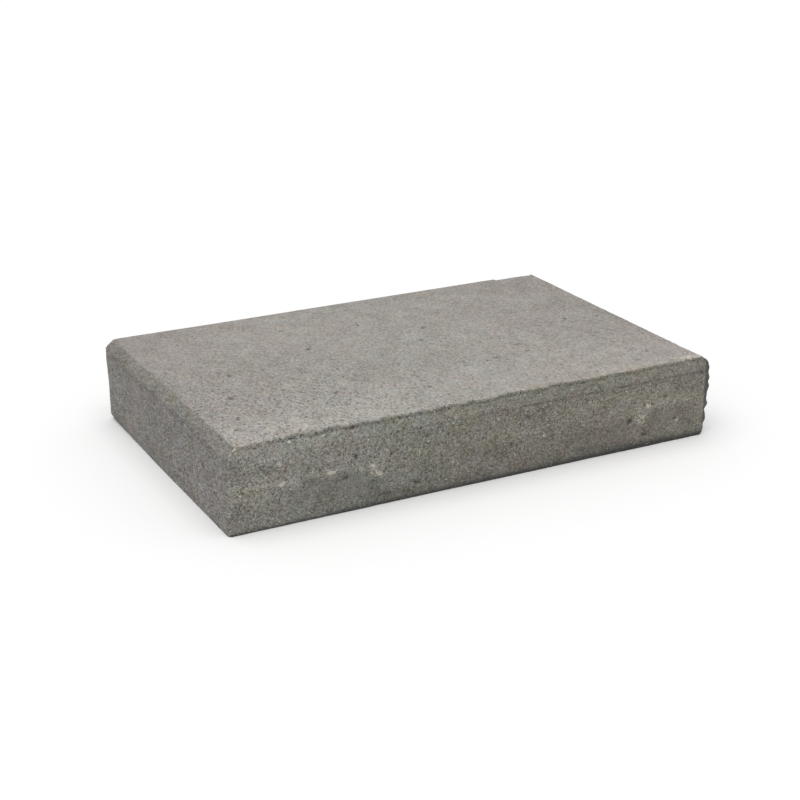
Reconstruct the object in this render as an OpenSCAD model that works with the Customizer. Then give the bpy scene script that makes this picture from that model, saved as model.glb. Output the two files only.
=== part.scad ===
// Concrete wall cap: one solid slab that finishes the top of a garden or retaining wall.
// It lies on its bed face, with its length along X and its front towards -Y, and butts its
// neighbours end to end. The origin is the middle of the bed face.
// The slab is what three outlines have in common: its long section, its cross section and its plan.

/* [Slab] */
// Length along the wall (16 in)
cap_length = 406.4; // [300:0.1:600]
// Depth across the wall (10 in)
cap_depth = 254; // [200:0.1:400]
// Height from the bed to the top face (2 5/8 in)
cap_height = 66.7; // [50:0.1:120]

/* [End chamfers] */
// How far in from each end the chamfer reaches along the top face
chamfer_run = 7; // [4:0.5:20]
// How far down each end face the chamfer reaches
chamfer_drop = 7; // [4:0.5:20]
// Radius that softens the upper and the lower arris of each chamfer
chamfer_arris_radius = 2; // [0.5:0.5:4]

/* [Arrises] */
// Radius of the four upright corners
upright_corner_radius = 3; // [0.5:0.5:10]
// Radius under the front face and the back face, along the bed
bed_arris_radius = 1; // [0.5:0.5:8]
// Radius of the long top arrises, which are nearly sharp
top_arris_radius = 0.6; // [0.2:0.1:3]

/* [Mould line] */
// How far below the top face the mould line runs along the front
mould_line_drop = 12; // [8:0.5:25]
// Width of the mould line where it opens at the face
mould_line_width = 1.4; // [0.6:0.1:4]
// Depth of the mould line
mould_line_depth = 0.5; // [0.2:0.1:2]

/* [Hidden] */
$fn = 96;
concrete_grey = [0.60, 0.58, 0.55];

half_length = cap_length / 2;
half_depth = cap_depth / 2;

// How far a cut or an outline runs past the surface it has to clear
clearance = 1;

function unit(v) = v / norm(v);

// Half the angle inside the corner between its two neighbours
function half_angle(before, corner, after) =
    acos(unit(before - corner) * unit(after - corner)) / 2;

// The points where an arc of this radius leaves the two straight sides of a corner
function arc_ends(before, corner, after, radius) =
    let (reach = radius / tan(half_angle(before, corner, after)))
    [corner + unit(before - corner) * reach, corner + unit(after - corner) * reach];

// The centre of that arc, on the line that halves the corner
function arc_centre(before, corner, after, radius) =
    let (inward = unit(unit(before - corner) + unit(after - corner)))
    corner + inward * radius / sin(half_angle(before, corner, after));

// A convex outline through points, with a true arc of its own radius in each corner.
// A corner of radius 0 stays sharp.
module eased_outline(points, radii) {
    count = len(points);
    function before(i) = points[(i + count - 1) % count];
    function after(i) = points[(i + 1) % count];
    polygon([
        for (i = [0 : count - 1])
            each radii[i] > 0 ? arc_ends(before(i), points[i], after(i), radii[i]) : [points[i]]
    ]);
    for (i = [0 : count - 1])
        if (radii[i] > 0)
            translate(arc_centre(before(i), points[i], after(i), radii[i]))
                circle(radii[i]);
}

// Long section, X across and Z up: a rectangle with its two upper corners cut off.
// The bed corners stay sharp, because the ends butt against the next caps.
module long_section() {
    shoulder = cap_height - chamfer_drop;
    brow = half_length - chamfer_run;
    eased_outline(
        [
            [-half_length, 0],
            [half_length, 0],
            [half_length, shoulder],
            [brow, cap_height],
            [-brow, cap_height],
            [-half_length, shoulder]
        ],
        [
            0,
            0,
            chamfer_arris_radius,
            chamfer_arris_radius,
            chamfer_arris_radius,
            chamfer_arris_radius
        ]
    );
}

// Shallow V in the front face, opening to the left, with its mouth's middle at the origin
module mould_line_cut() {
    half_width = mould_line_width / 2;
    polygon([
        [-clearance, -half_width],
        [0, -half_width],
        [mould_line_depth, 0],
        [0, half_width],
        [-clearance, half_width]
    ]);
}

// Cross section, Y across and Z up: eased bed corners, nearly sharp top corners
module cross_section() {
    difference() {
        eased_outline(
            [
                [-half_depth, 0],
                [half_depth, 0],
                [half_depth, cap_height],
                [-half_depth, cap_height]
            ],
            [bed_arris_radius, bed_arris_radius, top_arris_radius, top_arris_radius]
        );
        translate([-half_depth, cap_height - mould_line_drop])
            mould_line_cut();
    }
}

// Plan, X across and Y up: a rectangle with its four corners eased
module plan() {
    eased_outline(
        [
            [-half_length, -half_depth],
            [half_length, -half_depth],
            [half_length, half_depth],
            [-half_length, half_depth]
        ],
        [
            upright_corner_radius,
            upright_corner_radius,
            upright_corner_radius,
            upright_corner_radius
        ]
    );
}

module wall_cap() {
    color(concrete_grey)
        intersection() {
            rotate([90, 0, 0])
                linear_extrude(cap_depth + 2 * clearance, center = true)
                    long_section();
            rotate([90, 0, 90])
                linear_extrude(cap_length + 2 * clearance, center = true)
                    cross_section();
            translate([0, 0, -clearance])
                linear_extrude(cap_height + 2 * clearance)
                    plan();
        }
}

wall_cap();
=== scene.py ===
"""Concrete wall cap: the cast slab with its sand grain, pinholes, moulded sides and worn arrises.

The slab is one closed surface in metres, with its bed on the floor, its length along X and its
front towards -Y. Every size comes from the part in model.glb, the settings or the tables below.
"""

import math

import bpy
import numpy as np
from mathutils import Euler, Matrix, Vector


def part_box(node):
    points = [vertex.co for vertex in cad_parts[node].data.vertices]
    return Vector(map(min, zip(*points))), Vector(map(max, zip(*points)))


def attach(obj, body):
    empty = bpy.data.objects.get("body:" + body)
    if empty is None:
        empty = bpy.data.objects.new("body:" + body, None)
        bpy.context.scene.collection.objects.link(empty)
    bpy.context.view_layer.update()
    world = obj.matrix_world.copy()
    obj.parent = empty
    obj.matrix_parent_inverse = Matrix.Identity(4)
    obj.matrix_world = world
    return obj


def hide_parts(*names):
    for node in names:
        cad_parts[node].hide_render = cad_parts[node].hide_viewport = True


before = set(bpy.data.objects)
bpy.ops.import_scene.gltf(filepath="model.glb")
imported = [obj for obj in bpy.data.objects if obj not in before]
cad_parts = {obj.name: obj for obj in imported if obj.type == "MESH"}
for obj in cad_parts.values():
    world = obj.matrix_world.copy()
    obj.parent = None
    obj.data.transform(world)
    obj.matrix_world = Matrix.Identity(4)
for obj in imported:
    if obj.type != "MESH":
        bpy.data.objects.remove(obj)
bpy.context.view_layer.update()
SLAB_LOW, SLAB_HIGH = (np.array(corner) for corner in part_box("wall_cap"))
SLAB_LENGTH, SLAB_DEPTH, SLAB_HEIGHT = SLAB_HIGH - SLAB_LOW

MM = 0.001

bl_info = {
    "name": "Concrete wall cap",
    "version": (1, 0, 0),
    "blender": (4, 5, 0),
    "location": "3D View > Sidebar > Wall Cap",
    "description": "Casts a concrete wall cap and sets it on a pale studio floor",
    "category": "Mesh",
}


# ---- Settings


def number(name, description, default, unit="NONE"):
    """A number in one of Blender's units."""
    return bpy.props.FloatProperty(
        name=name, description=description, default=default, unit=unit, precision=5
    )


def length(name, description, default):
    """A length in metres, shown in the scene's own unit."""
    return number(name, description, default, "LENGTH")


def lengths(name, description, default, subtype):
    """Three lengths, along X, Y and Z."""
    return bpy.props.FloatVectorProperty(
        name=name, description=description, default=default, subtype=subtype, unit="LENGTH"
    )


def colour(name, description, default):
    """A linear colour."""
    return bpy.props.FloatVectorProperty(
        name=name, description=description, default=default, subtype="COLOR", size=3, min=0, max=2
    )


class SlabSettings(bpy.types.PropertyGroup):
    """Outline of the slab, as the mould gives it."""

    chamfer: length("Left chamfer", "Run and drop of the chamfer along the left end", 7 * MM)
    torn_chamfer: length("Right chamfer", "Run and drop of the chamfer on the right", 4.7 * MM)
    chamfer_ease: length("Chamfer easing", "Softening of the chamfers' arrises", 0.9 * MM)
    corner_ease: length("Left corners", "Radius of the left end's upright corners", 3 * MM)
    torn_corner: length("Right corners", "Radius of the right end's upright corners", 1 * MM)
    bed_ease: length("Bed easing", "Radius under the long faces, along the bed", 0.8 * MM)
    top_ease: length("Top easing", "Radius of the long top arrises", 0.6 * MM)
    line_drop: length("Mould line drop", "Height of the mould line below the top face", 12.2 * MM)
    line_width: length("Mould line width", "Width of the mould line", 3 * MM)
    spacing: lengths(
        "Surface spacing", "Distance between surface points", (1.2 * MM, 2.6 * MM, 1.4 * MM), "XYZ"
    )
    seed: bpy.props.IntProperty(name="Seed", description="Which slab of the batch", default=7)


class ReliefSettings(bpy.types.PropertyGroup):
    """Heights of the relief that casting and handling leave on the slab."""

    swell: length("Swell", "Broad unevenness of the moulded sides", 0.45 * MM)
    ripple: length("Ripple", "Unevenness of the sides, a finger's width across", 0.25 * MM)
    sand: length("Sand", "Height of single sand grains on the sides", 0.25 * MM)
    top_sand: length("Top sand", "Height of single sand grains on the top face", 0.07 * MM)
    pit: length("Pits", "Depth of the larger pits and nicks", 1.2 * MM)
    smear: length("Smears", "Height of the pale smears of slurry on the front", 0.5 * MM)
    hollow: length("Hollows", "Depth of the hollows under the front's crest", 1.5 * MM)
    line: length("Mould line", "Depth of the mould line", 0.7 * MM)
    crumble: length("Crumbling", "Depth of the crumbs lost along the arrises", 0.9 * MM)
    torn: length("Torn lumps", "Height of the lumps on the torn right end", 1.6 * MM)
    bed: length("Bed", "How far the bed is sunk on average", 0.15 * MM)
    lip: length("Left lip", "How far the left end stands proud at the top of its back", 1.6 * MM)
    rise: length("Back rise", "How much higher the top face is along its back", 0.5 * MM)


class ColourSettings(bpy.types.PropertyGroup):
    """Colours of the dry concrete."""

    top: colour("Top", "Cement skin of the top face", (0.333, 0.3132, 0.287))
    side: colour("Sides", "Moulded sides", (0.276, 0.2651, 0.228))
    end: colour("Ends", "Moulded ends", (0.2795, 0.2647, 0.2494))
    chamfer: colour("Chamfers", "Rough skin of the end chamfers", (0.2315, 0.2185, 0.1985))
    rosy: colour("Rosy tint", "Multiplies the colour where the cement is rosy", (1.04, 0.973, 0.99))
    green: colour("Green tint", "Multiplies it where the cement is greenish", (0.96, 1.018, 1))
    warm: colour("Warm tint", "Multiplies it where the cement is yellowish", (1.01, 1.002, 0.95))
    cool: colour("Cool tint", "Multiplies it where the cement is bluish", (0.99, 0.998, 1.05))
    pale: colour("Pale sand", "Pale grains and smears", (0.68, 0.638, 0.545))
    # The dark colour paints shade: in the pinholes, pits, hollows and crumbs, along the foot and on the
    # torn right end.
    dark: colour("Dark", "Pinholes, hollows and the foot", (0.060, 0.060, 0.058))
    grain: colour("Grain", "What light and dark grains add to or take from the colour", (0.3, 0.3, 0.3))


class GrainSettings(bpy.types.PropertyGroup):
    """Sizes of the sand, the specks and the stains in the concrete."""

    fine: length("Fine sand", "Size of the finest grains", 1.2 * MM)
    sand: length("Sand", "Size of the common grains", 2.4 * MM)
    coarse: length("Coarse sand", "Size of the largest grains", 5.5 * MM)
    blotch: length("Blotches", "Size of the light and dark blotches", 14 * MM)
    stain: length("Stains", "Size of the rosy, greenish, yellowish and bluish stains", 10 * MM)
    pinhole: length("Pinholes", "Size of the pinholes", 2.2 * MM)
    speck: length("Specks", "Size of the pale specks", 2 * MM)


class StageSettings(bpy.types.PropertyGroup):
    """Floor, lamps and camera."""

    floor_size: length("Floor size", "Side of the square floor", 8.0)
    floor_grey: number("Floor grey", "Share of the light that the floor throws back", 0.52)
    sky: number("Sky", "Strength of the even sky", 0.58)
    key: number("Overhead lamp", "Light of the overhead lamp on the floor", 0.46)
    key_width: number("Lamp width", "Angle that the lamp takes up", math.radians(70), "ROTATION")
    key_back: number("Lamp back", "Lean of its light to the back", math.radians(8), "ROTATION")
    key_right: number("Lamp right", "Lean of its light to the right", math.radians(12), "ROTATION")
    camera_place: lengths(
        "Camera place", "Where the camera stands", (-0.5773, -1.09135, 0.49977), "TRANSLATION"
    )
    camera_turn: number("Camera turn", "Turn to the right of +Y", 0.48461, "ROTATION")
    camera_tilt: number("Camera tilt", "Tilt below level", 0.36895, "ROTATION")
    lens: number("Lens", "Focal length", 74.04, "CAMERA")


# ---- What sets this slab apart, in millimetres: x from the left end, y from the front, z from the bed

# The crest along the front, below which the face falls back: (x, z)
CREST = ((0, 31), (95, 31), (122, 20), (146, 12), (235, 11), (300, 24), (350, 31), (406, 29))
# How much of the full depth the hollow below the crest has: (x, share)
HOLLOW = (
    (40, 0), (62, 0.6), (85, 1), (114, 1), (126, 0.2), (235, 0.2), (262, 0), (285, 0.35),
    (332, 0.4), (345, 0), (360, 0.5), (388, 0.5), (397, 0),
)
# How clearly the mould line shows: (x, share)
LINE = (
    (20, 0), (35, 0.3), (170, 0.4), (215, 0.6), (226, 0.2), (238, 1), (250, 1.1), (262, 0.7),
    (288, 0.5), (298, 1), (310, 0.5), (318, 0.4), (325, 1.1), (348, 1.3), (357, 0.3), (368, 0.8),
    (406, 0.7),
)
# How far the front's top arris is broken back on average, worn down where below 0: (x, mm)
WEAR = (
    (0, -0.9), (12, -0.8), (18, -1.6), (26, 0.2), (34, 0.4), (44, 0.1), (50, 2.4), (58, 2.4),
    (66, -1.5), (74, 0.5), (82, 3.8), (90, 0.4), (98, 0), (106, 1.6), (114, -1), (122, 1), (138, 0.1),
    (154, 0), (162, -1.2), (170, 0.5), (178, 1.2), (186, -0.4), (194, 1.6), (202, -1.9),
    (210, -2.1), (218, 1.2), (234, 1.8), (242, 0), (258, 0), (266, 2.8), (274, 1.2), (282, -0.2),
    (290, 0.2), (298, -2), (306, -0.7), (314, 0.5), (322, -1), (338, -1.2), (346, -0.5),
    (362, -0.1), (378, -1.2), (406, -0.5),
)
# The dark strip along the front's foot, a painted shadow and partly dirt: (x, height, share of dark)
FOOT = (
    (0, 3.5, 0.62), (40, 3.9, 0.6), (60, 4.2, 0.58), (95, 5.2, 0.64), (140, 5, 0.55), (200, 5.4, 0.6),
    (265, 5.6, 0.7), (295, 6.8, 0.73), (326, 8.2, 0.83), (357, 8.4, 0.89), (388, 6.2, 0.82),
    (406, 5.8, 0.8),
)
# How far the torn right end stands proud behind its front arris: (z, mm)
TORN = (
    (0, 0), (5, 1), (9, 1), (12, 2.9), (17, 2.3), (21, 1.2), (25, 4.2), (30, 2.6), (35, 3.2),
    (40, 5), (44, 3.2), (47, 4.6), (52, 3), (56, 3.8), (60, 2.4), (66.7, 0.8),
)
# Radius of the worn edge below the right end
FOOT_ROUND = 3.2
# How far below its setting the mould line runs on average
LINE_SAG = 0.45
# Sizes of the swells, the ripples, the sand grains and the torn lumps
SWELL_SIZE, RIPPLE_SIZE, SAND_SIZE, LUMP_SIZE = 80, 13, 3.2, 6.5
# How far below the top arrises the crumbs are lost, and how far that spreads
CRUMB_DROP, CRUMB_SPREAD = 2.7, 1.5
# Most that the front's top arris is broken back, and that the wear below 0 counts; its share down
MOST_BACK, MOST_WORN, DOWN_SHARE = 4.2, 2.4, 0.34
# The chip in the back's top arris: x where it sets in, x where it is halved, depth along the top
CHIP_START, CHIP_END, CHIP_DEPTH = (361, 364), (398, 401), 4.2
# A notch in that arris: x and depth
NOTCH_PLACE, NOTCH_DEPTH = 50, 1.2
# Broad patches, each with its tone or share in percent. Light and dark on the front:
# (x, z, half length, half height, tone)
# Among them, light patches along the crest are painted highlights, dark ones along the foot are painted
# shadow, partly dirt, and dark ones just below the top arris are painted shade.
FRONT_PATCHES = (
    (50, 55, 24, 5, 19), (54, 33, 66, 4, 13), (111, 25.5, 12, 6, 31), (80, 12, 16, 4, -14),
    (30, 6, 28, 4, 11), (122, 8, 22, 3, -25), (308, 7.5, 27, 3.5, -23), (265, 12, 18, 4, -12),
    (212, 26, 25, 4, -15), (248, 47, 22, 5, -14), (345, 31, 22, 6, 14), (335, 46, 20, 4, 6),
    (265, 34, 45, 3, 5), (375, 52, 22, 1.6, -10), (280, 23, 30, 6, -3.5), (50, 7.5, 12, 2, -5),
    (388, 8, 12, 3, 2), (400, 58.5, 8, 3.5, -8), (398, 64, 10, 2, 9), (172, 60.5, 14, 4, 10),
    (111, 60, 14, 5, -7), (18, 55.5, 14, 2.5, -7), (234, 52, 18, 5, -7), (18, 37, 12, 7, 12),
    (295, 28, 16, 5, -6), (295, 7.5, 10, 2, -10), (357, 7.5, 10, 2, -6), (49, 4.8, 12, 2, 20),
    (332, 54.5, 20, 1.2, 17), (234, 56, 30, 1.5, -4), (340, 52, 32, 1.6, -11), (18, 50, 10, 4, 6),
    (49, 16, 14, 5, -5), (295, 22, 12, 6, -3), (388, 40, 10, 8, -3), (357, 65, 30, 1.6, 6),
    (111, 62.8, 12, 2.5, -28), (172, 53, 45, 2.4, 10), (18, 33, 14, 24, 7), (390, 52, 12, 1.8, -20),
    (203, 60.5, 14, 4, -10), (326, 30, 12, 8, 8), (203, 33.5, 12, 5, 11), (265, 40, 12, 5, 5),
    (300, 50, 100, 60, 2), (295, 52.5, 10, 1.5, -6), (235, 54, 22, 3, 4), (265, 62.5, 12, 2.5, -11),
    (325, 63.6, 60, 1.6, 6), (80, 59.5, 12, 2.5, 8), (297, 59.5, 10, 2.5, -9), (12, 65.5, 14, 1.6, 8),
    (141, 59.5, 10, 2, -7), (234, 44, 14, 7, -10), (157, 41, 22, 5, 5), (141, 26.5, 12, 4, -8),
    (172, 12, 12, 3, -8), (95, 7.5, 26, 2, -10), (188, 7.5, 26, 2, -10), (141, 3, 12, 1.6, 12),
    (295, 2.9, 10, 1.6, 10), (18, 1.5, 14, 1.5, -22), (200, 65.4, 180, 1.3, 6), (326, 65, 10, 1.6, 8),
    (141, 64.4, 12, 1.8, 6), (250, 62, 170, 1.3, -10), (232, 63, 20, 2, -12), (204, 64.4, 10, 1.4, -14),
    (258, 64, 16, 1.5, -6), (12, 64.2, 16, 2, -26), (388, 64.8, 10, 1.8, 13), (49, 64.6, 10, 1.6, 8),
    (145, 64.4, 14, 1.6, 8), (141, 52.2, 8, 1.6, 5), (203, 52.2, 8, 1.6, 5), (292, 52.2, 10, 1.4, -6),
    (203, 40, 12, 3, -5), (203, 20, 12, 4, -5), (295, 27, 10, 4, -4), (402, 20, 3, 12, 12),
    (101, 33, 12, 3, 9), (20, 51.6, 12, 2.2, 24), (18, 47, 9, 1.8, -17), (20, 42.5, 12, 2.2, -18),
)
# light and dark on the top face: (x, y, half length, half width, tone)
TOP_PATCHES = (
    (45, 240, 50, 14, -6), (10, 150, 30, 90, -3), (385, 170, 50, 110, -7), (345, 245, 40, 15, -5),
    (230, 150, 110, 80, 4), (60, 16, 60, 12, 7), (110, 212, 40, 25, 5), (22, 24, 22, 12, 5),
    (125, 16, 30, 12, 5), (90, 10, 40, 8, 3), (262, 2.5, 10, 4, -23), (28, 78, 18, 18, -3),
    (184, 14, 20, 14, -3), (380, 20, 20, 12, -3), (301, 11, 14, 5, -3), (262, 147, 20, 14, 5),
    (262, 236, 16, 10, -2), (90, 75, 42, 26, 4), (150, 45, 32, 14, 4), (225, 45, 20, 34, 3.5),
    (300, 75, 34, 34, 3), (145, 2.2, 12, 2.6, 20), (223, 9, 12, 5, 7), (28, 10, 14, 14, 6),
    (285, 214, 34, 18, 5), (67, 45, 18, 12, 3), (106, 12, 14, 6, 4), (145, 212, 18, 12, 4),
    (379, 11, 14, 5, 12), (67, 2.5, 12, 3, -9), (67, 11, 14, 5, 4), (340, 2.5, 12, 3, 5),
    (345, 225, 28, 26, -5), (220, 64, 90, 28, 2), (195, 212, 36, 14, 2.5), (184, 9, 14, 7, -3),
    (184, 46, 18, 12, -4.5), (262, 10, 12, 6, -3), (382, 2.5, 12, 3, -4), (50, 236, 30, 12, -2.5),
    (13, 15, 8, 6, -5), (15, 4, 7, 4, 7),
)
# rosy on the top face, greenish where below 0: (x, y, half length, half width, share)
ROSY_PATCHES = (
    (67, 18, 35, 20, -28), (230, 150, 50, 32, -20), (200, 238, 70, 12, -18), (25, 190, 24, 60, 30),
    (85, 236, 45, 14, 20), (255, 225, 35, 25, -15), (380, 4, 20, 5, -25), (125, 5, 30, 6, -20),
    (350, 150, 40, 60, 8), (385, 215, 20, 14, 20), (384, 236, 20, 8, -25), (28, 11, 16, 8, 15),
    (255, 8, 40, 8, 20), (225, 100, 26, 40, -10), (262, 78, 14, 14, 25),
)
# light and dark on the ends: (y, z, half length, half height, tone)
END_PATCHES = (
    (142, 37, 18, 8, -9), (160, 9, 30, 5, -8), (234, 8, 16, 5, -10), (238, 38, 20, 7, 8),
    (48, 17, 20, 5, 7), (242, 63.5, 20, 3.5, -7), (218, 59.5, 26, 2, -5), (75, 59, 36, 1.6, -8),
    (25, 7, 24, 5, 18), (18, 59.5, 14, 2, 12), (80, 2.5, 16, 2, -12), (234, 9, 16, 6, -10),
    (234, 60, 14, 3, -7), (85, 63.5, 45, 2.5, 8), (220, 64, 24, 2, -4), (220, 50, 24, 10, 4),
    (215, 2.5, 30, 2, 10), (28, 52, 24, 6, -6), (142, 60, 14, 2.5, -9), (95, 34, 20, 8, -5),
    (172, 4, 16, 4, -7), (110, 5, 16, 5, -5), (80, 17, 16, 5, 6), (238, 26, 18, 9, 5),
    (142, 47, 14, 5, 4),
)
# Spots, each (x, z or y, half length, half height or width), and then, where they aren't level and
# of full strength, (tilt in degrees, strength):
# pale smears of slurry on the front
SMEARS = (
    (40.5, 32, 4.2, 1.5, 12, 0.8), (79.5, 33, 4.8, 1.7, 0, 0.8), (111.5, 31.5, 2.8, 2.2, -40, 0.8),
    (116, 25.5, 4.8, 1.9, -35, 0.75), (39.5, 47.5, 1.6, 2.2, 0, 0.75), (351.5, 34.2, 3, 2.5, 20, 0.7),
    (345.5, 24.5, 7.5, 4.6, 10, 0.48), (32, 7.5, 2, 1.5, 0, 0.6), (85, 61.5, 2, 1.2, 10, 0.3),
    (183, 20, 1.6, 1.8, 0, 0.4),
)
# single pale grains on the front
QUARTZ = (
    (47.3, 63, 1.3, 1.2, 0, 1.05), (73.3, 62.6, 1.2, 1.3, 20, 1.1), (5.8, 65.4, 2.2, 1.4, 20, 1.6),
    (78.3, 33.3, 1.9, 1.2, 0, 1.4), (41.3, 32.2, 1.6, 1.1, 0, 1.3), (111.3, 32.2, 1.3, 1.4, 0, 1.4),
    (117, 24, 1.6, 1.2, -30, 1.4), (40, 47.8, 1.1, 1.2, 0, 1.2), (351, 34.8, 1.6, 1.2, 20, 1),
    (177.5, 18.2, 1.1, 1.1, 0, 1.3), (8.7, 29.7, 1.1, 1.1, 0, 1.3), (85, 62.4, 1.2, 1.1, 0, 0.6),
    (172.3, 8.7, 1.2, 1.1, 0, 1.1), (256.3, 27.4, 1.3, 1.1, 0, 1.1), (149.7, 34.4, 1.1, 1.1),
    (178, 22, 1.1, 1.1), (109.7, 27, 1.2, 1.1), (13.3, 49.7, 1.1, 1.1), (47, 27, 1.1, 1.1),
    (280, 60, 1.1, 1.1, 0, 0.9), (380.3, 16.6, 1.4, 1.1), (343, 22.5, 1.2, 1.1, 0, 0.8),
    (348.5, 22, 1.2, 1.1, 0, 0.8),
)
# nicks in the front, the long one a slanting scratch
NICKS = (
    (91, 26, 3, 1.3), (98.5, 42, 1.7, 1.7, 30, 1.1), (127, 38, 1.8, 1.5, 20, 1), (96, 64.5, 2.5, 1.5),
    (228, 26, 1.7, 1.3, -20, 1), (242, 45, 2.4, 1.5, -30, 0.9), (335, 23.6, 3, 2, 40, 1.1),
    (403, 53, 1.6, 1.6, 0, 0.9), (148, 11.5, 4, 1.2, -20, 1), (350, 10.5, 4, 1.3),
    (304.8, 58.3, 6.4, 0.9, -53, 0.75), (329, 53.8, 4.5, 1, 3, 0.42), (107.3, 25.7, 1.6, 1.4, 0, 0.9),
    (203, 35.4, 1.3, 1.3, 0, 0.9), (378.7, 18.9, 2, 1.1), (367.7, 39, 1.3, 1.3, 0, 0.9),
    (25.3, 24.7, 1.3, 1.3, 0, 0.9), (173.7, 44.4, 1.3, 1.3, 0, 0.9), (326.5, 53.7, 1.6, 1.1, 0, 0.6),
)
# pits in the top face
PITS = (
    (136, 160, 2.8, 2.6), (40, 88, 3, 2.8), (242, 165, 3, 2.2, 30, 1), (226, 139, 2.4, 2.6),
    (358, 131, 2, 2.2, 0, 1.1), (386, 125, 2.2, 2.2), (290, 94, 2.6, 2.4), (258, 74, 2.8, 2.2, 0, 1.1),
    (288, 77, 2.6, 2.4, 0, 1.1), (181, 42, 2, 2.4, 0, 1.2), (29, 48, 2.2, 2.2, 0, 1.1),
    (113, 63, 1.8, 2.6), (57, 133, 2, 2.2), (52, 142, 2, 2.6), (197, 195, 1.8, 2.6), (248, 71, 1.8, 2),
    (57, 26, 1.8, 2.2), (80.7, 86, 1.8, 2.2), (20, 28.7, 1.8, 2),
)


# Zones of the faces, by the mark that they add to. Each row is a share and its ramps, and a ramp is
# an axis, the place where it is 0 and the place where it is 1. The share counts in full where all
# its ramps are 1. Below 0, tone is darker, rosy is greenish, warm is bluish and coarse is finer.
ZONES = {
    ("tone", "front"): (
        (0.15, ("x", 190, 60), ("z", -5, 38)), (0.12, ("z", 52, 56.5), ("x", 290, 200)),
        (0.06, ("z", 52, 56.5)), (-0.06, ("z", 32, 20), ("x", 90, 170)),
        # Painted highlight on the ridge above the right hollow
        (0.2, ("x", 352, 362), ("x", 404, 392), ("z", 29, 34), ("z", 41, 36)),
    ),
    ("tone", "top"): (
        # Painted light: the top is lighter towards its front.
        (-0.025,), (0.12, ("y", 90, 20)), (0.25, ("x", 370, 392), ("y", 10.5, 6)),
        (-0.045, ("x", 10, 7.5), ("y", 0, 160)),
    ),
    ("shade", "front"): (
        # Painted shadow along the foot where the bed meets the floor, partly dirt; the last row is
        # darker near the left upright corner.
        (0.02, ("z", 11, 3)), (0.15, ("z", 11, 3), ("x", 60, 110)),
        (0.2, ("z", 1.5, 0.7), ("x", 380, 345)),
        (0.7, ("z", 1.5, 0.7), ("x", 120, 150), ("x", 330, 290)),
        (0.2, ("x", 16, 6), ("z", 38, 44), ("z", 62, 56)),
    ),
    ("rosy", "front"): (
        (0.27, ("x", 130, 350)), (-0.25, ("x", 88, 105), ("x", 175, 150)),
        (-0.12, ("x", 25, 40), ("x", 68, 58)), (-0.26, ("z", 55, 60)),
        (0.4, ("z", 57, 61), ("x", 45, 22)), (-0.15, ("z", 14, 7), ("x", 150, 110)),
        (-0.25, ("z", 10, 5), ("x", 200, 300)), (-0.1, ("z", 38, 44), ("x", 200, 240)),
        (0.1, ("z", 20, 32), ("x", 55, 90), ("x", 200, 150)), (0.3, ("z", 54, 60), ("x", 340, 370)),
    ),
    ("rosy", "top"): (
        (0.03,), (-0.2, ("y", 150, 90), ("x", 60, 110), ("x", 290, 230)),
        (0.2, ("y", 120, 30), ("x", 330, 390)),
    ),
    ("rosy", "left"): ((-0.35, ("z", 6, 2)), (-0.3, ("z", 40, 50), ("y", 30, 14))),
    ("warm", "front"): (
        (0.16, ("x", 150, 260)), (-0.25, ("x", 160, 90)), (-0.12, ("x", 160, 60), ("z", 45, 20)),
        (-0.35, ("z", 6, 2)),
    ),
    ("warm", "top"): ((0.12, ("y", 9, 4)), (0.25, ("y", 9, 4), ("x", 150, 380))),
    ("warm", "left"): ((0.3, ("y", 110, 40), ("z", 48, 58)),),
    ("pale", "top"): (
        (0.12, ("y", 6, 2), ("x", 24, 34), ("x", 380, 360)),
        (0.42, ("y", 8.5, 6), ("y", 0.5, 2.5), ("x", 376, 388)),
    ),
    ("coarse", "front"): (
        (0.06,), (-0.06, ("x", 100, 200)), (-0.1, ("x", 220, 330)),
        (-0.16, ("z", 53, 57), ("z", 66, 63)), (-0.06, ("z", 32, 26)),
    ),
    ("coarse", "top"): (
        (-0.21,), (0.3, ("y", 170, 60), ("x", 230, 100)), (-0.08, ("y", 110, 230)),
    ),
    ("coarse", "left"): ((-0.25, ("y", 90, 180)),),
    # Dark crumbs along the top's front rim: partly broken concrete, partly painted shade in their
    # bites.
    ("crumbs", "top"): ((0.26, ("y", 2.4, 0.4), ("x", 34, 48), ("x", 390, 375)),),
}


# ---- Noise, as whole arrays

# What brings the noise's largest swings to about 1
NOISE_GAIN = 1.6


def scramble(x, y, z, seed):
    """A scrambled 32-bit number for each whole-number place: products with odd constants, mixed."""
    h = x.astype(np.uint32) * np.uint32(0x8DA6B343)
    h ^= y.astype(np.uint32) * np.uint32(0xD8163841)
    h ^= z.astype(np.uint32) * np.uint32(0xCB1AB31F)
    h ^= np.uint32(seed * 0x9E3779B1 & 0xFFFFFFFF)
    for shift in (15, 13):
        h ^= h >> np.uint32(shift)
        h *= np.uint32(0x2C1B3C6D)
    return h ^ (h >> np.uint32(16))


def share(h, part):
    """One of three values from 0 to 1 in a scrambled number: ten bits each."""
    return ((h >> np.uint32(10 * part)) & np.uint32(1023)) / 1023.0


def smooth(low, high, x):
    """0 below low, 1 above high and an S between: 3t^2 - 2t^3."""
    t = np.clip((x - low) / (high - low), 0, 1)
    return t * t * (3 - 2 * t)


def bell(middle, spread, x):
    """1 at the middle and falling off to both sides: e to the minus square of distance over spread."""
    return np.exp(-(((x - middle) / spread) ** 2))


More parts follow.
